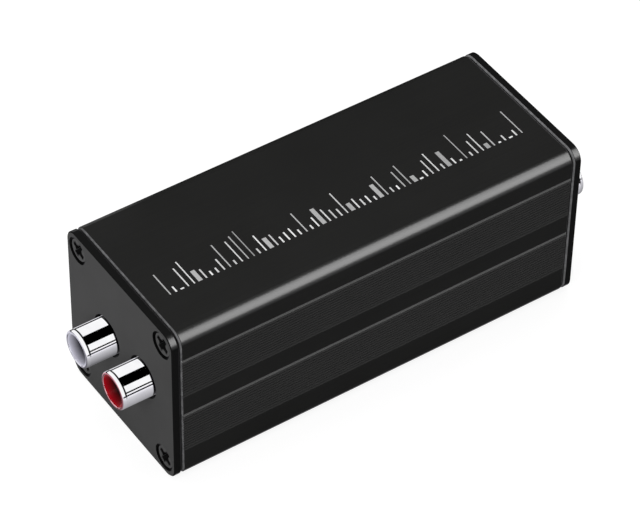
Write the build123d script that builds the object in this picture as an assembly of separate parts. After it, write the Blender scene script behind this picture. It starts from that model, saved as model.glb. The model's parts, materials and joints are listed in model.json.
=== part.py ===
from build123d import *
import os
from math import atan2, degrees

# A passive stereo ground loop isolator: an extruded aluminium box with a plate at each end, two phono
# jacks in each plate and, on a board inside, one isolation transformer for each channel.
# Millimetres. X runs along the box, Y across it and Z up. The origin is on the surface that the box
# rests on, under its middle. The input end is at -X and the output end at +X.

# Box
box_width = 39.0
box_height = 40.0
corner_radius = 3.2
housing_length = 95.0
housing_wall = 1.6
inner_corner_radius = 2.0
seam_chamfer = 0.5

# Fine grooves along both sides, in two bands
groove_count = 15
groove_pitch = 0.7
groove_width = 0.5
groove_depth = 0.3
edge_groove_width = 0.66
band_spacing = 15.3
band_lift = 0.9

# Screw ports in the corners of the extrusion
screw_inset = 3.9
port_radius = 2.7
port_mouth = 1.3

# End plates
plate_thickness = 2.0
face_chamfer = 0.2

# Countersunk plate screws
screw_radius = 1.5
screw_length = 8.0
head_radius = 2.5
head_sink = 0.35
head_rim = 0.15
recess_length = 4.0
recess_width = 1.15
recess_depth = 1.4
recess_core_radius = 1.15
recess_floor_radius = 0.6
recess_turn = 30.0
thread_clearance = 0.05
plate_hole_clearance = 0.15
countersink_clearance = 0.05

# Circuit board and the ribs that hold it
board_thickness = 1.6
board_underside = 12.4
board_side_gap = 0.3
board_end_gap = 0.7
slot_clearance = 0.2
rib_reach = 2.2
rib_thickness = 1.2
hole_clearance = 0.15
pin_past_board = 1.2

# Phono jacks
jack_axis_above_board = 7.0
jack_pitch = 13.6
jack_pair_offset = -1.7
jack_reach = 7.2
shell_radius = 4.15
shell_wall = 0.55
shell_outer_round = 0.4
shell_inner_round = 0.1
shell_hole_clearance = 0.6
flange_radius = 5.2
flange_thickness = 0.6
flange_gap = 0.2

# Moulded jack bodies
body_width = 11.5
body_depth = 9.0
body_above_axis = 5.8
body_below_axis = 6.0
body_chamfer = 1.2
foot_width = 1.6
nose_clearance = 0.05
nose_setback = 0.15
dish_rim = 0.2
dish_depth = 3.0
throat_radius = 1.95
throat_length = 1.0

# Centre contacts and ground lugs
contact_bore_radius = 1.62
contact_bore_depth = 8.5
contact_wall = 0.45
contact_floor = 0.5
contact_clearance = 0.05
tail_thickness = 0.4
tail_width = 1.4
tail_gap = 0.3
lug_thickness = 0.4
lug_tail_setback = 2.2

# Isolation transformers
core_width = 24.0
core_headroom = 4.0
core_stack = 9.0
core_leg = 3.0
core_lift = 0.4
bobbin_wall = 0.7
bobbin_flange = 0.8
bobbin_overhang = 5.4
bobbin_clearance = 0.1
window_clearance = 0.2
rail_width = 3.0
winding_depth = 1.7
winding_gap = 0.05
tape_thickness = 0.2
pin_pitch = 5.0
pin_size = 0.6
pin_embed = 2.4
pin_clearance = 0.03
pins_per_rail = 3

# Places worked out from the sizes above
mid_height = box_height / 2
end_face = housing_length / 2 + plate_thickness
board_top = board_underside + board_thickness
jack_height = board_top + jack_axis_above_board
shell_bore_radius = shell_radius - shell_wall
nose_radius = shell_bore_radius - nose_clearance
contact_radius = contact_bore_radius + contact_wall
white_y = jack_pair_offset + jack_pitch / 2
red_y = jack_pair_offset - jack_pitch / 2

# Along a jack, from the outer face of its plate inwards
flange_front = plate_thickness + flange_gap
lug_front = flange_front + flange_thickness
body_front = lug_front + lug_thickness
body_back = body_front + body_depth
nose_front = nose_setback - jack_reach
throat_front = nose_front + dish_depth
contact_front = throat_front + throat_length
contact_mouth = contact_front + contact_clearance
contact_floor_x = contact_mouth + contact_bore_depth
contact_back = contact_floor_x + contact_floor
contact_tail_x = body_back + tail_gap + tail_thickness / 2
lug_tail_x = body_front + lug_tail_setback
tail_foot = -(jack_axis_above_board + board_thickness + pin_past_board)

# Each transformer stands midway between the middle of the box and a pair of jack bodies
transformer_spacing = end_face - body_back

# Up a transformer, from the top of the board
core_height = box_height - housing_wall - board_top - core_lift - core_headroom
window_bottom = core_lift + core_leg
window_height = core_height - 2 * core_leg
window_width = core_width / 2 - 2 * core_leg
bobbin_bottom = window_bottom + window_clearance / 2
bobbin_height = window_height - window_clearance
flange_half_width = core_leg + window_width - window_clearance
flange_half_depth = core_stack / 2 + bobbin_overhang
rail_y = flange_half_depth - rail_width / 2


def screw_places():
    """Centres of the four screws at an end, as Y and Z."""
    across = box_width / 2 - screw_inset
    return [(side * across, z) for side in (-1, 1) for z in (screw_inset, box_height - screw_inset)]


def turned(points):
    """A solid turned about the X axis from an outline of X and radius."""
    return revolve(make_face(Polyline(*points, close=True)), Axis.X)


def block(x0, x1, y0, y1, z0, z1):
    """A plain block between two corners."""
    return Pos((x0 + x1) / 2, (y0 + y1) / 2, (z0 + z1) / 2) * Box(x1 - x0, y1 - y0, z1 - z0)


def bar_section():
    """The rounded outline that the housing and the plates share, as Y and Z."""
    return Pos(0, mid_height) * RectangleRounded(box_width, box_height, corner_radius)


def chamfered_bar(length, low_chamfer, high_chamfer):
    """A bar of the shared outline from X = 0 to X = length, with its end edges chamfered."""
    bar = extrude(Plane.YZ * bar_section(), length)
    bar = chamfer(bar.faces().sort_by(Axis.X)[0].edges(), low_chamfer)
    return chamfer(bar.faces().sort_by(Axis.X)[-1].edges(), high_chamfer)


def groove_section(width):
    """A V groove, with its mouth on X = 0 of its own frame."""
    half = width / 2
    return make_face(Polyline((-groove_depth, 0), (0, -half), (groove_depth, 0), (0, half), close=True))


def groove_bands():
    """The sections of all the grooves in both sides."""
    cuts = []
    for side in (-1, 1):
        for band in (-1, 1):
            for index in range(groove_count):
                step = index - (groove_count - 1) / 2
                z = mid_height + band_lift + band * band_spacing / 2 + step * groove_pitch
                at_edge = index in (0, groove_count - 1)
                width = edge_groove_width if at_edge else groove_width
                cuts.append(Pos(side * box_width / 2, z) * groove_section(width))
    return cuts


def board_ribs():
    """The sections of the two ribs on each side wall, with the board's slot between them."""
    ribs = []
    reach_y = box_width / 2 - housing_wall - rib_reach
    for side in (-1, 1):
        y = side * (reach_y + box_width / 2 - housing_wall / 2) / 2
        width = rib_reach + housing_wall / 2
        for z in (board_underside - rib_thickness / 2, board_top + slot_clearance + rib_thickness / 2):
            ribs.append(Pos(y, z) * Rectangle(width, rib_thickness))
    return ribs


def build_housing():
    """The extrusion: walls, corner screw ports, board ribs and grooved sides, with chamfered ends."""
    cavity_width = box_width - 2 * housing_wall
    cavity_height = box_height - 2 * housing_wall
    section = bar_section()
    section -= Pos(0, mid_height) * RectangleRounded(cavity_width, cavity_height, inner_corner_radius)
    for rib in board_ribs():
        section += rib
    for y, z in screw_places():
        section += Pos(y, z) * Circle(port_radius)
    for y, z in screw_places():
        section -= Pos(y, z) * Circle(screw_radius + thread_clearance)
        inwards = degrees(atan2(mid_height - z, -y))
        mouth = Pos(port_radius, 0) * Rectangle(2 * port_radius, port_mouth)
        section -= Pos(y, z) * Rot(0, 0, inwards) * mouth
    for cut in groove_bands():
        section -= cut
    housing = extrude(Plane.YZ * section, housing_length)
    housing &= chamfered_bar(housing_length, seam_chamfer, seam_chamfer)
    return Pos(-housing_length / 2, 0, 0) * housing


def build_plate():
    """An end plate, its outer face at X = 0 and its inner face against the housing."""
    plate = chamfered_bar(plate_thickness, face_chamfer, seam_chamfer)
    hole = screw_radius + plate_hole_clearance
    mouth = head_radius + countersink_clearance + head_sink + head_rim
    sink = turned([(0, 0), (0, mouth), (mouth - hole, hole), (plate_thickness, hole), (plate_thickness, 0)])
    for y, z in screw_places():
        plate -= Pos(0, y, z) * sink
    jack_hole = turned([(0, 0), (0, shell_radius + shell_hole_clearance),
                        (plate_thickness, shell_radius + shell_hole_clearance), (plate_thickness, 0)])
    for y in (white_y, red_y):
        plate -= Pos(0, y, jack_height) * jack_hole
    return plate


def build_screw():
    """A countersunk screw with a tapered cross recess, seen from the plate's outer face at X = 0."""
    neck = head_sink + head_rim + head_radius - screw_radius
    tip = head_sink + screw_length
    screw = turned([(head_sink, 0), (head_sink, head_radius), (head_sink + head_rim, head_radius),
                    (neck, screw_radius), (tip - screw_radius / 2, screw_radius),
                    (tip, screw_radius / 2), (tip, 0)])
    floor_x = head_sink + recess_depth
    half = recess_length / 2
    thin = recess_width / 2
    recess = block(head_sink, floor_x, -half, half, -thin, thin)
    recess += block(head_sink, floor_x, -thin, thin, -half, half)
    floor = [(floor_x, recess_floor_radius), (floor_x, 0)]
    recess &= turned([(head_sink, 0), (head_sink, half), *floor])
    recess += turned([(head_sink, 0), (head_sink, recess_core_radius), *floor])
    return screw - Rot(recess_turn, 0, 0) * recess


def build_shell():
    """A jack's chrome shell: a barrel with a rounded mouth and a flange behind the plate."""
    shell = turned([(-jack_reach, shell_bore_radius), (-jack_reach, shell_radius),
                    (flange_front, shell_radius), (flange_front, flange_radius),
                    (lug_front, flange_radius), (lug_front, shell_bore_radius)])
    mouth = shell.edges().filter_by(GeomType.CIRCLE).group_by(Axis.X)[0].sort_by(SortBy.RADIUS)
    shell = fillet(mouth[-1], shell_outer_round)
    mouth = shell.edges().filter_by(GeomType.CIRCLE).group_by(Axis.X)[0].sort_by(SortBy.RADIUS)
    return fillet(mouth[0], shell_inner_round)


def build_jack_body():
    """A jack's coloured moulding: a block on two feet, its nose filling the shell and ending in a dish."""
    half = body_width / 2
    body = block(body_front, body_back, -half, half, -body_below_axis, body_above_axis)
    body = chamfer(body.edges().filter_by(Axis.X).group_by(Axis.Z)[-1], body_chamfer)
    for side in (-1, 1):
        inner, outer = sorted((side * (half - foot_width), side * half))
        body += block(body_front, body_back, inner, outer, -jack_axis_above_board, -body_below_axis)
    body += turned([(nose_front, 0), (nose_front, nose_radius), (body_back, nose_radius), (body_back, 0)])
    bore = contact_radius + contact_clearance
    body -= turned([(nose_front, 0), (nose_front, nose_radius - dish_rim), (throat_front, throat_radius),
                    (contact_front, throat_radius), (contact_front, bore), (body_back, bore), (body_back, 0)])
    return body


def bent_strip(points, width):
    """A strip of sheet metal that follows points of X and Z, with square bends."""
    half = tail_thickness / 2
    strip = Part()
    for (xa, za), (xb, zb) in zip(points, points[1:]):
        strip += block(min(xa, xb) - half, max(xa, xb) + half, -width / 2, width / 2,
                       min(za, zb) - half, max(za, zb) + half)
    return strip


def build_contact():
    """A jack's centre contact: a socket for the plug's pin, with a tail down to the board."""
    contact = turned([(contact_mouth, contact_bore_radius), (contact_mouth, contact_radius),
                      (contact_back, contact_radius), (contact_back, 0),
                      (contact_floor_x, 0), (contact_floor_x, contact_bore_radius)])
    half = tail_thickness / 2
    route = [(contact_back - half, 0), (contact_tail_x, 0), (contact_tail_x, tail_foot + half)]
    return contact + bent_strip(route, tail_width)


def build_ground_lug():
    """A jack's ground lug: a ring behind the shell's flange, with a tail under the body to the board."""
    half = tail_thickness / 2
    ring = turned([(lug_front, shell_bore_radius), (lug_front, flange_radius),
                   (body_front, flange_radius), (body_front, shell_bore_radius)])
    under = -(body_below_axis + jack_axis_above_board) / 2
    ring_x = (lug_front + body_front) / 2
    route = [(ring_x, half - flange_radius), (ring_x, under), (lug_tail_x, under)]
    route.append((lug_tail_x, tail_foot + half))
    return ring + bent_strip(route, tail_width)


def at_end(piece, end):
    """Turns a piece to face out of an end: end is -1 at the input and 1 at the output."""
    turn = 0 if end < 0 else 180
    return Pos(end * end_face, 0, 0) * Rot(0, 0, turn) * piece


def at_jack(piece, end, y):
    """Puts a jack's piece in its plate."""
    return Pos(0, y, jack_height) * at_end(piece, end)


def pin_places():
    """Centres of a transformer's pins, as X and Y in its own frame."""
    steps = [(index - (pins_per_rail - 1) / 2) * pin_pitch for index in range(pins_per_rail)]
    return [(x, side * rail_y) for side in (-1, 1) for x in steps]


def transformer_x(channel):
    """Where a channel's transformer stands along the box."""
    return channel * transformer_spacing / 2


def build_board():
    """The circuit board, with a hole for every tail and pin."""
    half_length = housing_length / 2 - board_end_gap
    half_width = box_width / 2 - housing_wall - board_side_gap
    board = block(-half_length, half_length, -half_width, half_width, board_underside, board_top)
    slot = Box(tail_thickness + 2 * hole_clearance, tail_width + 2 * hole_clearance, board_thickness)
    pin_hole = Box(pin_size + 2 * hole_clearance, pin_size + 2 * hole_clearance, board_thickness)
    middle = (board_underside + board_top) / 2
    for end in (-1, 1):
        for y in (white_y, red_y):
            for depth in (contact_tail_x, lug_tail_x):
                board -= Pos(end * (end_face - depth), y, middle) * slot
    for channel in (-1, 1):
        for x, y in pin_places():
            board -= Pos(transformer_x(channel) + x, y, middle) * pin_hole
    return board


def build_core():
    """A transformer's stack of E and I laminations, varnished into one block with two windows."""
    half_stack = core_stack / 2
    core = block(-core_width / 2, core_width / 2, -half_stack, half_stack, core_lift, core_lift + core_height)
    for side in (-1, 1):
        near, far = sorted((side * core_leg, side * (core_leg + window_width)))
        core -= block(near, far, -half_stack, half_stack, window_bottom, window_bottom + window_height)
    return core


def leg_outline(offset):
    """The bobbin's hole grown by an offset, with round corners of that radius."""
    width = 2 * (core_leg + bobbin_clearance + offset)
    depth = core_stack + 2 * (bobbin_clearance + offset)
    return RectangleRounded(width, depth, offset) if offset else Rectangle(width, depth)


def sleeve(inside, thickness, bottom, height):
    """An upright sleeve round the centre leg, its inner face at an offset from the bobbin's hole."""
    ring = leg_outline(inside + thickness) - leg_outline(inside)
    return Pos(0, 0, bottom) * extrude(ring, height)


def build_bobbin():
    """A transformer's bobbin: a tube with two flanges, and two pin rails that stand on the board."""
    flange = extrude(Rectangle(2 * flange_half_width, 2 * flange_half_depth) - leg_outline(0), bobbin_flange)
    bobbin = sleeve(0, bobbin_wall, bobbin_bottom, bobbin_height)
    bobbin += Pos(0, 0, bobbin_bottom) * flange
    bobbin += Pos(0, 0, bobbin_bottom + bobbin_height - bobbin_flange) * flange
    for side in (-1, 1):
        near, far = sorted((side * (rail_y - rail_width / 2), side * flange_half_depth))
        bobbin += block(-flange_half_width, flange_half_width, near, far, 0, bobbin_bottom)
    hole = pin_size + 2 * pin_clearance
    for x, y in pin_places():
        bobbin -= block(x - hole / 2, x + hole / 2, y - hole / 2, y + hole / 2, 0, pin_embed + pin_clearance)
    return bobbin


def build_winding(layer, thickness):
    """A sleeve of wire or tape round the bobbin's tube, outside as many windings as layer says."""
    inside = bobbin_wall + winding_gap + layer * (winding_depth + winding_gap)
    bottom = bobbin_bottom + bobbin_flange + winding_gap
    return sleeve(inside, thickness, bottom, bobbin_height - 2 * (bobbin_flange + winding_gap))


def build_pins():
    """A transformer's square solder pins, from inside the rails to just past the board."""
    half = pin_size / 2
    foot = -(board_thickness + pin_past_board)
    return Compound([block(x - half, x + half, y - half, y + half, foot, pin_embed) for x, y in pin_places()])


def build_transformer():
    """All the pieces of a transformer, standing on the board at its own origin."""
    return {
        "core": build_core(),
        "bobbin": build_bobbin(),
        "primary_winding": build_winding(0, winding_depth),
        "secondary_winding": build_winding(1, winding_depth),
        "tape": build_winding(2, tape_thickness),
        "pins": build_pins(),
    }


def all_pieces():
    """Every piece in its place, by node name."""
    pieces = {"housing": build_housing(), "circuit_board": build_board()}
    plate = build_plate()
    screw = build_screw()
    jack = {
        "shell": build_shell(),
        "body": build_jack_body(),
        "contact": build_contact(),
        "ground_lug": build_ground_lug(),
    }
    for end_name, end in (("input", -1), ("output", 1)):
        facing_out = plate if end < 0 else mirror(plate, Plane.YZ)
        pieces[end_name + "_end_plate"] = Pos(end * end_face, 0, 0) * facing_out
        screws = [Pos(0, y, z) * at_end(screw, end) for y, z in screw_places()]
        pieces[end_name + "_plate_screws"] = Compound(screws)
        for colour, y in (("white", white_y), ("red", red_y)):
            for name, piece in jack.items():
                pieces[f"{end_name}_{colour}_jack_{name}"] = at_jack(piece, end, y)
    transformer = build_transformer()
    for colour, channel in (("white", -1), ("red", 1)):
        for name, piece in transformer.items():
            pieces[f"{colour}_transformer_{name}"] = Pos(transformer_x(channel), 0, board_top) * piece
    return pieces


os.makedirs("parts", exist_ok=True)
for node, piece in all_pieces().items():
    export_step(piece, f"parts/{node}.step")
    print(node, round(piece.volume, 2))
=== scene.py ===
"""Looks of a stereo ground loop isolator.

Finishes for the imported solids, the bars printed on the top, the studio and the camera.
"""
import json
import math
import random

import bpy
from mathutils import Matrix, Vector


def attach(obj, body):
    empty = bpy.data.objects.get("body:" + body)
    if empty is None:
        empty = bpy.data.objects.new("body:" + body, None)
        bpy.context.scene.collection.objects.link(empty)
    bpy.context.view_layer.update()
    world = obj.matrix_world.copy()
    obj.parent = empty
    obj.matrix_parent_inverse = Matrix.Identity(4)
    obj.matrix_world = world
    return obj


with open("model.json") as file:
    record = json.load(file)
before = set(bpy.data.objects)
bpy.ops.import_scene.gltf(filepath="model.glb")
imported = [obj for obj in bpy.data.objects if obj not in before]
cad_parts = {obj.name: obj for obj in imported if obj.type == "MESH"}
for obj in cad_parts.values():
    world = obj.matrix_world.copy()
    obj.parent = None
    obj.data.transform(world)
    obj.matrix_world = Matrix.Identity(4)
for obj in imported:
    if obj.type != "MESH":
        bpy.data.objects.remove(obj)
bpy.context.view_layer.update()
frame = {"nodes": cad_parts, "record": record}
nodes = frame["nodes"]
MM = 0.001

# Places on the box, in millimetres of the part's own frame. Those of faces, jacks and screws are
# the same at both ends and on both sides, so the size of a coordinate is compared with them.
MID_HEIGHT = 20.0
TOP = 40.0
SIDE_FACE = 19.5
PLATE_FACE = 49.5
SCREW_FACE = 49.15
JACK_MOUTH = 56.7
# Between the red jacks, at lower Y, and the white ones
JACK_MIDDLE_Y = -1.7
# How far from the middle height the rounding of the long edges starts
CORNER_START = 16.8
# The length over which one finish turns into another
SOFT_STEP = 0.2
LOWEST_GROOVE = 8.35
GROOVE_BAND_SPACING = 15.3
# The top groove of a band, above its lowest one
TOP_GROOVE = (9.35, 10.5)
# How far into a groove the painted shade is darkest
GROOVE_SHADE_DEPTH = 0.25
# Painted highlights: light lines painted along the seams, for the light that their chamfers catch
HOUSING_SEAM_HIGHLIGHT = (-47.36, -47.12)
PLATE_SEAM_HIGHLIGHT = (47.64, 47.9)
# Within this far from the axis, along Y and Z, a plate's cut faces are the walls of its holes
HOLES_WITHIN = (18.3, 18.8)
SCREW_PLACE = (15.6, 16.1)
SCREW_RIM = (2.1, 2.3)
# Stretches along the jacks
# Painted shade on the chrome at and inside the plate, and a painted dark reflection as a line
# behind the lip
PAINTED_FOOT_SHADE = (PLATE_FACE - 2.3, PLATE_FACE + 0.16)
LIP_DARK_REFLECTION = (JACK_MOUTH - 1.1, JACK_MOUTH - 0.8)
LIP_SLOPE = (JACK_MOUTH - 0.85, JACK_MOUTH - 0.35)
# The lip's front, painted in the moulding's colour as a painted reflection
LIP_FRONT_REFLECTION = (JACK_MOUTH - 0.16, JACK_MOUTH - 0.08)
# Where painted shade darkens the mouldings' mouths
MOUTH_SHADE_STRETCH = (JACK_MOUTH - 2.1, JACK_MOUTH - 0.3)

# How many layers the noise adds to its first one, each finer than the last
PLAIN, FINE = 2.0, 3.0
# Ranges that noise seldom leaves, from a wide one to a narrow one that it often fills
NOISE_WIDE = (0.25, 0.75)
NOISE_USUAL = (0.3, 0.7)
NOISE_NARROW = (0.35, 0.65)

# Edges' gloss starts and is full at these sizes of the normal's Y times Z, which is 0 on flats
# and 0.5 halfway round a long edge
GLOSSY_TURN = (0.26, 0.43)
EDGE_GLOSS_ROUGHNESS = 0.28


class Surface:
    """A procedural material, or a world, put together node by node.

    Its lengths are millimetres of the part's own frame.
    """

    def __init__(self, name, world=False):
        self.owner = (bpy.data.worlds if world else bpy.data.materials).new(name)
        self.owner.use_nodes = True
        self.tree = self.owner.node_tree
        self.tree.nodes.clear()
        self.place = self.scaled(self.add("ShaderNodeTexCoord").outputs["Object"], 1 / MM)

    def add(self, kind, inputs=None, **settings):
        """Adds a node. Inputs are values or links by name or index, settings its own options."""
        made = self.tree.nodes.new(kind)
        for name, value in settings.items():
            setattr(made, name, value)
        for name, value in (inputs or {}).items():
            if isinstance(value, bpy.types.NodeSocket):
                self.tree.links.new(value, made.inputs[name])
            else:
                made.inputs[name].default_value = value
        return made

    def scaled(self, vector, *factors):
        """A vector times one factor, or times one for each axis."""
        by = factors * 3 if len(factors) == 1 else factors
        inputs = {0: vector, 1: by}
        return self.add("ShaderNodeVectorMath", inputs, operation="MULTIPLY").outputs[0]

    def split(self, vector):
        """The three parts of a vector."""
        return self.add("ShaderNodeSeparateXYZ", {0: vector}).outputs

    def facing(self):
        """The plain normal of the surface, in three parts."""
        return self.split(self.add("ShaderNodeNewGeometry").outputs["Normal"])

    def math(self, operation, a, b=0.0):
        return self.add("ShaderNodeMath", {0: a, 1: b}, operation=operation).outputs[0]

    def times(self, a, b):
        return self.math("MULTIPLY", a, b)

    def size(self, value):
        """A value without its sign."""
        return self.math("ABSOLUTE", value)

    def away(self, value, middle):
        """How far a value is from a middle one."""
        return self.size(self.math("SUBTRACT", value, middle))

    def remap(self, value, low, high, to_low, to_high):
        """A value between low and high, turned into one between to_low and to_high."""
        inputs = {"Value": value, "From Min": low, "From Max": high,
                  "To Min": to_low, "To Max": to_high}
        return self.add("ShaderNodeMapRange", inputs, clamp=True).outputs["Result"]

    def band(self, value, low, high, soft):
        """1 where a value is between low and high, with soft ends outside them."""
        rises = self.remap(value, low - soft, low, 0.0, 1.0)
        return self.times(rises, self.remap(value, high, high + soft, 1.0, 0.0))

    def noise(self, detail, *factors):
        """Noise from 0 to 1. Its features are 1 mm across over the factor, or over each axis's."""
        inputs = {"Vector": self.scaled(self.place, *factors), "Scale": 1.0, "Detail": detail}
        return self.add("ShaderNodeTexNoise", inputs).outputs["Fac"]

    def spread(self, noise, low=0.0, high=1.0):
        """Noise turned into a value that goes all the way from low to high."""
        return self.remap(noise, *NOISE_USUAL, low, high)

    def mix(self, factor, a, b):
        """A colour between a and b."""
        a, b = [c if isinstance(c, bpy.types.NodeSocket) else (*c, 1.0) for c in (a, b)]
        return self.add("ShaderNodeMix", {0: factor, 6: a, 7: b}, data_type="RGBA").outputs[2]

    def blend(self, factor, a, b):
        """A number between a and b."""
        return self.add("ShaderNodeMix", {0: factor, 2: a, 3: b}).outputs[0]

    def bump(self, height, depth, normal=None):
        """A bump of that depth in millimetres."""
        inputs = {"Height": height, "Distance": depth * MM, "Strength": 1.0}
        if normal:
            inputs["Normal"] = normal
        return self.add("ShaderNodeBump", inputs).outputs["Normal"]

    def rounded(self, radius):
        """The normal as if each edge were rounded by that radius in millimetres."""
        return self.add("ShaderNodeBevel", {"Radius": radius * MM}, samples=6).outputs["Normal"]

    def edges(self, radius):
        """1 on edges and 0 further than that radius in millimetres from them."""
        plain = self.add("ShaderNodeNewGeometry").outputs["Normal"]
        inputs = {0: self.rounded(radius), 1: plain}
        turned = self.add("ShaderNodeVectorMath", inputs, operation="DOT_PRODUCT")
        return self.remap(turned.outputs["Value"], 0.995, 0.9, 0.0, 1.0)

    def by_height(self, between, at_corners):
        """One value at the height of the sides' flats, another at that of the long edges."""
        height = self.away(self.split(self.place)["Z"], MID_HEIGHT)
        return self.remap(height, CORNER_START - SOFT_STEP, CORNER_START, between, at_corners)

    def gloss(self, in_grooves):
        """1 on the four long rounded edges, 0 on flats, and less on the slopes of the grooves."""
        normal = self.facing()
        turned = self.size(self.times(normal["Y"], normal["Z"]))
        return self.times(self.remap(turned, *GLOSSY_TURN, 0.0, 1.0),
                          self.by_height(in_grooves, 1.0))

    def painted_seam_line(self, line, least):
        """At least a given value, up to 1, on a painted highlight line round the box, and 0
        elsewhere.
        """
        on_line = self.band(self.split(self.place)["X"], *line, 0.05)
        return self.times(on_line, self.remap(self.noise(FINE, 0.8), *NOISE_NARROW, least, 1.0))

    def rays(self, *kinds):
        """1 for rays of any of these kinds."""
        path = self.add("ShaderNodeLightPath").outputs
        found = path[kinds[0]]
        for kind in kinds[1:]:
            found = self.math("MAXIMUM", found, path[kind])
        return found

    def glow(self, colour, strength):
        """Light that the surface gives off."""
        return self.add("ShaderNodeEmission", {"Color": colour, "Strength": strength})

    def either(self, factor, a, b):
        """Shader a, or shader b where the factor is 1."""
        return self.add("ShaderNodeMixShader", {0: factor, 1: a.outputs[0], 2: b.outputs[0]})

    def end(self, shader, output="ShaderNodeOutputMaterial"):
        """Ends in that shader."""
        self.add(output, {"Surface": shader.outputs[0]})
        return self.owner

    def finish(self, **sockets):
        """Ends in one Principled shader with these sockets, named with underscores."""
        inputs = {name.replace("_", " "): value for name, value in sockets.items()}
        return self.end(self.add("ShaderNodeBsdfPrincipled", inputs))


def grey(level):
    return (level, level, level)


def shade(colour, factor):
    return tuple(c * factor for c in colour)


def anodised_housing():
    """Satin black anodising on an extrusion, with the die's faint lines.

    Painted shade makes it black inside the grooves, a painted highlight makes it paler on edges,
    and a painted highlight runs as a light line round its input end.
    """
    s = Surface("anodised_housing")
    base = (0.0155, 0.0155, 0.0151)
    edge_highlight_grey, groove_painted_shade, seam_highlight_grey = grey(0.04), grey(0.001), (0.17, 0.17, 0.175)
    drawn = s.noise(FINE, 0.015, 5.0, 5.0)
    cloud = s.noise(PLAIN, 0.05)
    grain = s.noise(PLAIN, 9.0)
    tone = s.math("ADD", s.times(drawn, 0.5), s.times(cloud, 0.5))
    colour = s.mix(s.spread(tone), shade(base, 0.9), shade(base, 1.12))
    # Painted highlight: the colour turns paler near edges
    colour = s.mix(s.times(s.edges(0.07), 0.25), colour, edge_highlight_grey)
    place = s.split(s.place)
    # Painted shade: the colour turns black towards the bottom of each groove, where shade falls
    depth = s.remap(s.size(place["Y"]), SIDE_FACE - GROOVE_SHADE_DEPTH, SIDE_FACE, 0.85, 0.0)
    colour = s.mix(s.times(depth, s.by_height(1.0, 0.0)), colour, groove_painted_shade)
    # Painted highlight: a light line round the seam at the input end
    colour = s.mix(s.painted_seam_line(HOUSING_SEAM_HIGHLIGHT, 0.55), colour, seam_highlight_grey)
    up_band = s.math("MODULO", s.math("SUBTRACT", place["Z"], LOWEST_GROOVE), GROOVE_BAND_SPACING)
    groove_gloss = s.blend(s.band(up_band, *TOP_GROOVE, 0.45), 0.055, 0.27)
    height = s.math("ADD", s.times(drawn, 0.6), s.times(grain, 0.4))
    return s.finish(Base_Color=colour, Roughness=s.remap(grain, *NOISE_WIDE, 0.33, 0.4),
                    Specular_IOR_Level=0.01, Coat_Weight=s.gloss(groove_gloss),
                    Coat_Roughness=EDGE_GLOSS_ROUGHNESS,
                    Normal=s.bump(height, 0.004, s.rounded(0.03)))


def anodised_plate():
    """Fine matt grey-black anodising on a punched plate.

    Painted shade makes its cut edges darker than its faces and its holes black, and a painted
    highlight runs as a light line round it at the output end.
    """
    s = Surface("anodised_plate")
    base = grey(0.059)
    cut_edge_shade, hole_shade, seam_highlight_grey = grey(0.007), grey(0.0012), (0.2, 0.2, 0.205)
    grain = s.noise(FINE, 14.0)
    cloud = s.noise(PLAIN, 0.12)
    face = s.mix(s.spread(cloud), shade(base, 0.94), shade(base, 1.06))
    face = s.mix(s.spread(grain, 0.0, 0.25), face, shade(base, 1.25))
    place = s.split(s.place)
    across, up = HOLES_WITHIN
    within = s.times(s.remap(s.size(place["Y"]), across, across + SOFT_STEP, 1.0, 0.0),
                     s.remap(s.away(place["Z"], MID_HEIGHT), up, up + SOFT_STEP, 1.0, 0.0))
    # Painted shade: a darker copy of the colour on the cut faces than on the two broad faces, and
    # black on the walls of the holes
    cut = s.mix(within, cut_edge_shade, hole_shade)
    # Painted highlight: a light line round the plate at the output end
    cut = s.mix(s.painted_seam_line(PLATE_SEAM_HIGHLIGHT, 0.6), cut, seam_highlight_grey)
    front = s.remap(s.size(s.facing()["X"]), 0.95, 0.98, 0.0, 1.0)
    return s.finish(Base_Color=s.mix(front, cut, face),
                    Roughness=s.remap(grain, *NOISE_WIDE, 0.38, 0.5), Specular_IOR_Level=0.01,
                    Coat_Weight=s.gloss(0.0), Coat_Roughness=EDGE_GLOSS_ROUGHNESS,
                    Normal=s.bump(grain, 0.004, s.rounded(0.1)))


def blackened_screw():
    """Grey-black oxide on a turned screw, worn at its rim, with painted shade that makes it black
    in and round its punched cross.
    """
    s = Surface("blackened_screw")
    worn_grey, cross_shade = grey(0.14), grey(0.0012)
    grain = s.noise(FINE, 10.0)
    place = s.split(s.place)
    across = s.math("SUBTRACT", s.size(place["Y"]), SCREW_PLACE[0])
    up = s.math("SUBTRACT", s.away(place["Z"], MID_HEIGHT), SCREW_PLACE[1])
    radius = s.math("SQRT", s.math("ADD", s.times(across, across), s.times(up, up)))
    rim = s.remap(radius, *SCREW_RIM, 0.0, 1.0)
    worn = s.times(s.edges(0.15), s.remap(grain, *NOISE_NARROW, 0.2, 0.8))
    colour = s.mix(s.spread(grain), grey(0.06), grey(0.085))
    colour = s.mix(s.times(worn, rim), colour, worn_grey)
    # Painted shade: black in the cross and along the edges round it
    round_cross_shade = s.times(s.edges(0.4), s.math("SUBTRACT", 1.0, rim))
    face = s.remap(s.size(place["X"]), SCREW_FACE - 0.12, SCREW_FACE - 0.04, 0.0, 1.0)
    colour = s.mix(s.times(face, s.math("SUBTRACT", 1.0, round_cross_shade)), cross_shade, colour)
    return s.finish(Base_Color=colour, Roughness=s.spread(grain, 0.4, 0.5),
                    Specular_IOR_Level=0.02, Normal=s.bump(grain, 0.006, s.rounded(0.08)))


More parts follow.
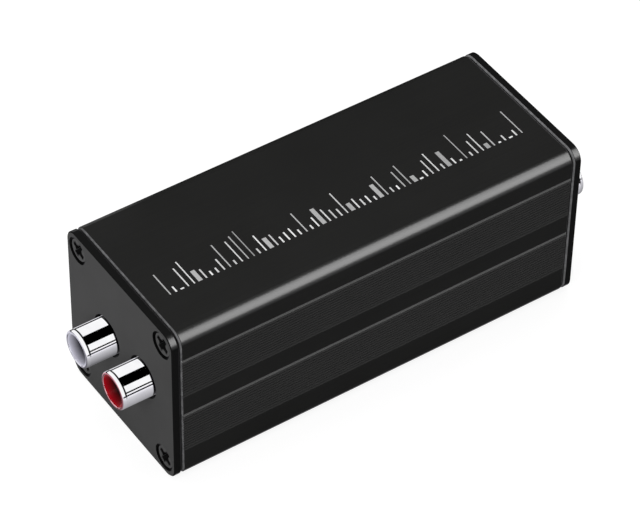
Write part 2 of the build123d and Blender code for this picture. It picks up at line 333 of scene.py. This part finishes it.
def bright_chrome():
    """Polished chrome plate with a trace of orange peel.

    Painted shade makes it dark at the plate, and a painted dark reflection makes a line behind the
    rolled lip. The lip's front is painted in the colour of the moulding, as a painted reflection of
    it.
    """
    s = Surface("bright_chrome")
    # The first colour is painted shade and a painted dark reflection, the other two painted
    # reflections of the mouldings
    dark, red_reflection_paint, white_reflection_paint = (0.004, 0.004, 0.005), (0.78, 0.3, 0.36), (0.8, 0.79, 0.88)
    peel = s.noise(PLAIN, 1.2)
    hair = s.noise(PLAIN, 0.2, 30.0, 30.0)
    film = s.noise(FINE, 0.5)
    colour = s.mix(s.remap(film, 0.35, 0.7, 0.0, 1.0), (0.91, 0.91, 0.93), (0.96, 0.96, 0.97))
    place = s.split(s.place)
    along = s.size(place["X"])
    # Painted shade at the plate, and a painted dark reflection as a line behind the lip
    foot_shade = s.band(along, *PAINTED_FOOT_SHADE, 0.06)
    above = s.remap(s.facing()["Z"], 0.2, 0.4, 0.0, 1.0)
    lip_dark_reflection = s.times(s.band(along, *LIP_DARK_REFLECTION, 0.05), above)
    colour = s.mix(s.math("MAXIMUM", foot_shade, lip_dark_reflection), colour, dark)
    beside = s.remap(place["Y"], JACK_MIDDLE_Y - 0.1, JACK_MIDDLE_Y + 0.1, 0.0, 1.0)
    # Painted reflection: the lip's front takes the colour of the moulding beside it
    front = s.remap(along, *LIP_FRONT_REFLECTION, 0.0, 1.0)
    colour = s.mix(front, colour, s.mix(beside, red_reflection_paint, white_reflection_paint))
    fall = s.remap(along, *LIP_SLOPE, 0.0, -0.16)
    height = s.math("ADD", s.times(peel, 0.0006), fall)
    return s.finish(Base_Color=colour, Metallic=1.0,
                    Roughness=s.remap(hair, 0.3, 0.75, 0.03, 0.065),
                    Normal=s.bump(height, 1.0, s.rounded(0.1)))


def moulding(name, base, deep, specular, roughness, subsurface):
    """Glossy moulded plastic, slightly uneven in tone and gloss, with painted shade that darkens it
    deep in the mouth.
    """
    s = Surface(name)
    cloud = s.noise(FINE, 0.35)
    grain = s.noise(PLAIN, 6.0)
    colour = s.mix(s.spread(cloud), shade(base, 0.93), shade(base, 1.05))
    # Painted shade: the colour darkens towards the back of the mouth
    depth = s.remap(s.size(s.split(s.place)["X"]), *MOUTH_SHADE_STRETCH, 1.0, 0.0)
    colour = s.mix(s.math("POWER", depth, 0.7), colour, deep)
    return s.finish(Base_Color=colour, Roughness=s.spread(grain, roughness, roughness + 0.08),
                    Specular_IOR_Level=specular, Subsurface_Weight=subsurface,
                    Subsurface_Radius=(0.001, 0.0006, 0.0005),
                    Normal=s.bump(grain, 0.003, s.rounded(0.15)))


def bare_metal(name, dark, light, roughness):
    """Plated sheet or turned metal with soft blotches and fine scratches."""
    s = Surface(name)
    cloud = s.noise(FINE, 0.7)
    scratch = s.noise(FINE, 1.5, 18.0, 18.0)
    return s.finish(Base_Color=s.mix(s.spread(cloud), dark, light), Metallic=1.0,
                    Roughness=s.spread(scratch, roughness, roughness + 0.15),
                    Normal=s.bump(scratch, 0.003, s.rounded(0.08)))


def board_laminate():
    """Green solder resist over copper tracks, with bare glass cloth at the cut edges."""
    s = Surface("board_laminate")
    track_spacing = 3.2
    cloth = {"Vector": s.scaled(s.place, 1.6), "Scale": 1.0}
    weave = s.add("ShaderNodeTexVoronoi", cloth, distance="CHEBYCHEV").outputs["Distance"]
    cloud = s.noise(PLAIN, 0.2)
    lane = s.math("PINGPONG", s.split(s.place)["Y"], track_spacing)
    track = s.remap(s.away(lane, track_spacing / 2), 0.45, 0.55, 1.0, 0.0)
    flat = s.remap(s.size(s.facing()["Z"]), 0.6, 0.8, 0.0, 1.0)
    mask = s.mix(track, (0.012, 0.09, 0.03), (0.03, 0.2, 0.07))
    mask = s.mix(s.spread(cloud, 0.0, 0.3), mask, (0.01, 0.07, 0.03))
    edge = s.mix(weave, (0.32, 0.3, 0.14), (0.45, 0.42, 0.24))
    return s.finish(Base_Color=s.mix(flat, edge, mask), Roughness=s.blend(flat, 0.75, 0.3),
                    Normal=s.bump(s.math("ADD", track, s.times(weave, 0.3)), 0.03))


def core_laminations():
    """Varnished edges of thin electrical steel sheets, stacked across the core."""
    s = Surface("core_laminations")
    half_sheet = 0.175
    gap_black, varnish = (0.02, 0.018, 0.015), (0.3, 0.27, 0.22)
    layer = s.math("PINGPONG", s.split(s.place)["Y"], half_sheet)
    sheet = s.remap(layer, 0.0, 0.05, 0.0, 1.0)
    cloud = s.noise(FINE, 0.5)
    streak = s.noise(PLAIN, 0.6, 14.0, 0.6)
    steel = s.mix(s.spread(cloud), (0.12, 0.12, 0.13), (0.24, 0.235, 0.23))
    steel = s.mix(s.spread(streak, 0.0, 0.5), steel, varnish)
    return s.finish(Base_Color=s.mix(sheet, gap_black, steel), Metallic=0.7,
                    Roughness=s.spread(streak, 0.3, 0.5), Coat_Weight=0.4, Coat_Roughness=0.2,
                    Normal=s.bump(sheet, 0.03))


def copper_wire():
    """Turns of enamelled wire, laid side by side up the winding, with painted shade between the
    turns.
    """
    s = Surface("copper_wire")
    wire_radius = 0.09
    wander = s.noise(PLAIN, 0.35)
    height = s.math("ADD", s.split(s.place)["Z"], s.times(wander, 0.12))
    turn = s.remap(s.math("PINGPONG", height, wire_radius), 0.0, wire_radius, 0.0, 1.0)
    rounded = s.math("SQRT", turn)
    # Painted shade: the copper darkens towards the creases between turns
    colour = s.mix(rounded, (0.1, 0.025, 0.008), (0.62, 0.2, 0.07))
    return s.finish(Base_Color=colour, Metallic=0.85, Roughness=s.spread(wander, 0.22, 0.35),
                    Coat_Weight=0.5, Coat_Roughness=0.12, Normal=s.bump(rounded, 0.05))


def amber_tape():
    """Amber film tape with lapped edges and a few small blisters."""
    s = Surface("amber_tape")
    half_width = 4.2
    place = s.split(s.place)
    lap = s.remap(s.math("PINGPONG", place["Z"], half_width), 0.0, 0.12, 1.0, 0.0)
    blister = s.noise(FINE, 0.8)
    colour = s.mix(s.remap(blister, 0.35, 0.7, 0.0, 1.0), (0.6, 0.34, 0.03), (0.78, 0.5, 0.07))
    colour = s.mix(s.times(lap, 0.7), colour, (0.4, 0.2, 0.015))
    return s.finish(Base_Color=colour, Roughness=s.spread(blister, 0.14, 0.26),
                    Normal=s.bump(s.math("SUBTRACT", blister, lap), 0.03))


def bobbin_nylon():
    """Black moulded nylon with a fine matt texture."""
    s = Surface("bobbin_nylon")
    grain = s.noise(FINE, 7.0)
    cloud = s.noise(PLAIN, 0.4)
    colour = s.mix(s.spread(cloud), grey(0.03), (0.045, 0.045, 0.044))
    return s.finish(Base_Color=colour, Roughness=s.spread(grain, 0.45, 0.6),
                    Normal=s.bump(grain, 0.01, s.rounded(0.12)))


finishes = {
    "anodised_housing": anodised_housing(),
    "anodised_plate": anodised_plate(),
    "blackened_screw": blackened_screw(),
    "bright_chrome": bright_chrome(),
    "white_moulding": moulding("white_moulding", base=(0.6, 0.59, 0.69), deep=(0.01, 0.01, 0.015),
                               specular=0.03, roughness=0.25, subsurface=0.03),
    "red_moulding": moulding("red_moulding", base=(0.36, 0.001, 0.008), deep=(0.004, 0.0, 0.0),
                             specular=0.05, roughness=0.25, subsurface=0.0),
    "contact_metal": bare_metal("contact_metal", dark=(0.7, 0.52, 0.24), light=(0.8, 0.62, 0.32),
                                roughness=0.2),
    "tinned_metal": bare_metal("tinned_metal", dark=grey(0.62), light=(0.74, 0.74, 0.73),
                               roughness=0.3),
    "board_laminate": board_laminate(),
    "core_laminations": core_laminations(),
    "bobbin_nylon": bobbin_nylon(),
    "copper_wire": copper_wire(),
    "amber_tape": amber_tape(),
}
for part in frame["record"]["subparts"]:
    for slot in nodes[part["node"]].material_slots:
        slot.material = finishes[part["material_slot"]]


# The row of bars printed on the top, in millimetres
PRINT_THICKNESS = 0.015
BAR_SEED = 24
BAR_COUNT = 62
BAR_START = -42.5
BAR_PITCH = 1.395
BASE_LINE = -8.2
SHORTEST = 1.2
TALLEST = 8.2
WIDEST = 0.95
WIDE_APART = 3
# A bar's kind is a number from 0 to 1: wide below the first of these, a dash below the second
WIDE_BELOW, DASH_BELOW = 0.22, 0.25
# How much narrower and darker the tallest thin bar is than the shortest
NARROWER, DARKER = 0.12, 0.25


def bar_mesh(bars):
    """A flat film of ink for each bar: (left, right, bottom, top, grey)."""
    box_faces = ((3, 2, 1, 0), (4, 5, 6, 7), (0, 1, 5, 4), (1, 2, 6, 5), (2, 3, 7, 6), (3, 0, 4, 7))
    points, faces, greys = [], [], []
    for left, right, bottom, top, level in bars:
        start = len(points)
        for z in (TOP, TOP + PRINT_THICKNESS):
            corners = ((left, bottom), (right, bottom), (right, top), (left, top))
            points += [(x * MM, y * MM, z * MM) for x, y in corners]
        faces += [[start + i for i in face] for face in box_faces]
        greys += [level] * 8
    mesh = bpy.data.meshes.new("spectrum_print")
    mesh.from_pydata(points, [], faces)
    ink = mesh.attributes.new("ink", "FLOAT", "POINT")
    ink.data.foreach_set("value", greys)
    return mesh


def spectrum_bars():
    """A row of bars of many heights, as on any level meter: thin and wide ones, and dashes."""
    draw = random.Random(BAR_SEED)
    bars = []
    last_wide = 0
    for index in range(BAR_COUNT):
        middle = BAR_START + index * BAR_PITCH
        # A slow wave of uneven length, in which thin bars get taller and shorter
        swell = 0.5 + 0.5 * math.sin(index * 0.5 + 1.2 * math.sin(index * 0.13))
        kind = draw.random()
        if kind < WIDE_BELOW and index - last_wide > WIDE_APART:
            width, height, level = WIDEST, draw.uniform(1.4, 5.0), draw.uniform(0.3, 0.42)
            last_wide = index
        elif kind < DASH_BELOW:
            width, height, level = draw.uniform(0.4, 0.9), draw.uniform(0.3, 0.5), 0.8
        else:
            tall = min(1.0, draw.random() ** 1.7 * (0.85 + 0.3 * swell))
            height = SHORTEST + (TALLEST - SHORTEST) * tall
            width, level = 0.36 - NARROWER * tall, draw.uniform(0.5, 0.9) - DARKER * tall
        bars.append((middle - width / 2, middle + width / 2, BASE_LINE, BASE_LINE + height, level))
    return bars


def white_ink():
    """Screen-printed ink, as light as each bar's own grey."""
    s = Surface("white_ink")
    level = s.add("ShaderNodeAttribute", attribute_name="ink").outputs["Fac"]
    speck = s.noise(FINE, 5.0)
    uneven = s.times(level, s.spread(speck, 0.78, 1.1))
    colour = s.add("ShaderNodeCombineColor", {0: uneven, 1: uneven, 2: uneven}).outputs[0]
    return s.finish(Base_Color=colour, Roughness=s.spread(speck, 0.4, 0.55),
                    Normal=s.bump(speck, 0.004))


printed = bpy.data.objects.new("spectrum_print", bar_mesh(spectrum_bars()))
bpy.context.scene.collection.objects.link(printed)
printed.data.materials.append(white_ink())
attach(printed, "root")


# The studio, in metres. Directions round the box are angles from +Y towards +Z.
WHITE, BLACK = (1.0, 1.0, 1.0, 1.0), (0.0, 0.0, 0.0, 1.0)
# The share along X of the direction in which the camera looks at the box
VIEW_ALONG = 0.4077
JACK_HEIGHT = 0.021
# The flags' usual distance, and where they end along X
FLAG_DISTANCE = 0.46
FLAG_END = 0.54
FAR_EDGE_END = 0.11
FLOOR_HALF_SIDE = 3.0
# Just below the underside, so that the two don't share a plane
FLOOR_HEIGHT = -0.00002
# What the camera sees of the floor: its own light, and as much of the lamps' as makes the shadow
FLOOR_GLOW, FLOOR_SHADOWED = 0.86, (0.22, 0.22, 0.22, 1.0)
FLOOR_DIFFUSE = (0.6, 0.6, 0.6, 1.0)

# Painted shade that polished metal sees on the floor: how light the floor is in reflections, by Y
# in millimetres, and its tint
MIRRORED_FLOOR_SHADE = [
    (-200, 1.0), (-86, 0.95), (-50, 0.68), (-38, 0.6), (-22, 0.48), (-13, 0.39), (-6.5, 0.31),
    (0, 0.22), (6, 0.14), (14, 0.12), (22, 0.8), (74, 0.8), (78, 0.0), (1500, 0.0), (1800, 1.0)]
MIRRORED_TINT = (0.96, 0.95, 1.0)


def card(name, centre, across, along, material):
    """A flat rectangle round a centre, spanned by two half-side vectors."""
    centre, across, along = Vector(centre), Vector(across), Vector(along)
    corners = [centre - across - along, centre + across - along,
               centre + across + along, centre - across + along]
    mesh = bpy.data.meshes.new(name)
    mesh.from_pydata([tuple(c) for c in corners], [], [(0, 1, 2, 3)])
    made = bpy.data.objects.new(name, mesh)
    bpy.context.scene.collection.objects.link(made)
    made.data.materials.append(material)
    return made


def floor_material():
    """A white floor that takes the object's shadow.

    Reflections in polished metal see painted shade on it instead: darker under and beside the
    object, and black in a wide band past its far side.
    """
    s = Surface("floor")
    lighting = s.add("ShaderNodeBsdfDiffuse", {"Color": FLOOR_DIFFUSE})
    shadowed = s.add("ShaderNodeBsdfDiffuse", {"Color": FLOOR_SHADOWED})
    glow = s.glow(WHITE, FLOOR_GLOW)
    lit = s.add("ShaderNodeAddShader", {0: shadowed.outputs[0], 1: glow.outputs[0]})
    shown = s.either(s.rays("Is Camera Ray", "Is Transmission Ray"), lighting, lit)
    low, high = MIRRORED_FLOOR_SHADE[0][0], MIRRORED_FLOOR_SHADE[-1][0]
    steps = s.add("ShaderNodeValToRGB", {0: s.remap(s.split(s.place)["Y"], low, high, 0.0, 1.0)})
    ramp = steps.color_ramp
    while len(ramp.elements) < len(MIRRORED_FLOOR_SHADE):
        ramp.elements.new(0.5)
    for element, (y, tone) in zip(ramp.elements, MIRRORED_FLOOR_SHADE):
        element.position = (y - low) / (high - low)
        element.color = (*shade(MIRRORED_TINT, tone), 1.0)
    # Painted shade and a painted dark band, seen only in reflections
    mirrored_shade = s.glow(steps.outputs["Color"], 1.0)
    return s.end(s.either(s.rays("Is Glossy Ray"), shown, mirrored_shade))


def black_card():
    """No light at all."""
    s = Surface("black_card")
    return s.end(s.glow(BLACK, 0.0))


def studio_world():
    """White to the camera and in what the object mirrors, and half as light to matt surfaces."""
    s = Surface("studio", world=True)
    ambient = s.add("ShaderNodeBackground", {"Color": WHITE, "Strength": 0.5})
    backdrop = s.add("ShaderNodeBackground", {"Color": WHITE, "Strength": 1.0})
    seen = s.rays("Is Camera Ray", "Is Glossy Ray", "Is Transmission Ray")
    return s.end(s.either(seen, ambient, backdrop), "ShaderNodeOutputWorld")


def softbox(name, direction, distance, size, level):
    """An area lamp aimed at the object that lights a facing surface to that level."""
    target = Vector((0.0, 0.0, MID_HEIGHT * MM))
    place = Vector(direction).normalized() * distance + target
    lamp = bpy.data.lights.new(name, "AREA")
    lamp.shape = "RECTANGLE"
    lamp.size, lamp.size_y = size
    lamp.energy = level * math.pi ** 2 * distance ** 2
    made = bpy.data.objects.new(name, lamp)
    bpy.context.scene.collection.objects.link(made)
    made.location = place
    made.rotation_mode = "QUATERNION"
    made.rotation_quaternion = (place - target).to_track_quat("Z", "Y")
    made.visible_camera = False
    return made


def around(angle, along):
    """A direction with that share along X and that angle round it."""
    side = math.sqrt(1 - along ** 2)
    turn = math.radians(angle)
    return Vector((along, side * math.cos(turn), side * math.sin(turn)))


def flag(name, angle, half_angle, distance=FLAG_DISTANCE, start=0.0, end=FLAG_END):
    """A black card that only reflections show, from one X to another, at an angle round X."""
    place = around(angle, 0.0) * distance
    across = Vector((1, 0, 0)).cross(place).normalized()
    reach = distance * math.tan(math.radians(half_angle))
    middle = place + Vector(((start + end) / 2, 0, JACK_HEIGHT))
    made = card(name, middle, ((end - start) / 2, 0, 0), across * reach, flag_material)
    for seen_by in ("camera", "diffuse", "transmission", "shadow", "volume_scatter"):
        setattr(made, "visible_" + seen_by, False)


floor = card("floor", (0, 0, FLOOR_HEIGHT), (FLOOR_HALF_SIDE, 0, 0), (0, FLOOR_HALF_SIDE, 0),
             floor_material())
bpy.context.scene.world = studio_world()

# The key light stands where the long near edge mirrors it to the camera along its whole length,
# and nearer than the overhead flag, which would hide it. It lights glossy surfaces only.
key = softbox("key_light", around(137, VIEW_ALONG), distance=0.4, size=(0.34, 0.35), level=1.5)
key.visible_diffuse = False
left = softbox("left_light", (-0.8, -0.35, 0.45), distance=0.8, size=(0.5, 0.5), level=0.5)
top = softbox("top_light", (0.1, 0.25, 1.0), distance=0.9, size=(0.6, 0.6), level=0.45)

# The lamps light all but the chrome. No solid is seen in polish either, or the chrome would
# mirror the dark plate, which it doesn't do in the photo.
receivers = bpy.data.collections.new("lit_pieces")
for name, node in nodes.items():
    if "jack_shell" not in name:
        receivers.objects.link(node)
receivers.objects.link(printed)
receivers.objects.link(floor)
for lamp in (key, left, top):
    lamp.light_linking.receiver_collection = receivers
for node in nodes.values():
    node.visible_glossy = False

# The first three make the barrels' black stripe and two dark lines. The last keeps the white
# world's reflection off the long edge on the far side.
flag_material = black_card()
flag("overhead_flag", angle=104.5, half_angle=27.5)
flag("upper_line", angle=171.3, half_angle=4.2)
flag("lower_line", angle=187.2, half_angle=4.2, distance=0.11, start=-0.09)
flag("far_edge_flag", angle=30, half_angle=32, distance=0.06, start=-0.02, end=FAR_EDGE_END)

# The photo's camera, as fitted to the edges of the box
camera = bpy.data.objects.new("camera", bpy.data.cameras.new("camera"))
bpy.context.scene.collection.objects.link(camera)
camera.data.sensor_width = 36.0
camera.data.lens = 190.8
camera.data.clip_start = 0.05
camera.location = (-0.284673, -0.406458, 0.507846)
camera.rotation_euler = [math.radians(a) for a in (45.5047, -0.7814, -34.0892)]
bpy.context.scene.camera = camera
bpy.context.scene.view_settings.view_transform = "Standard"
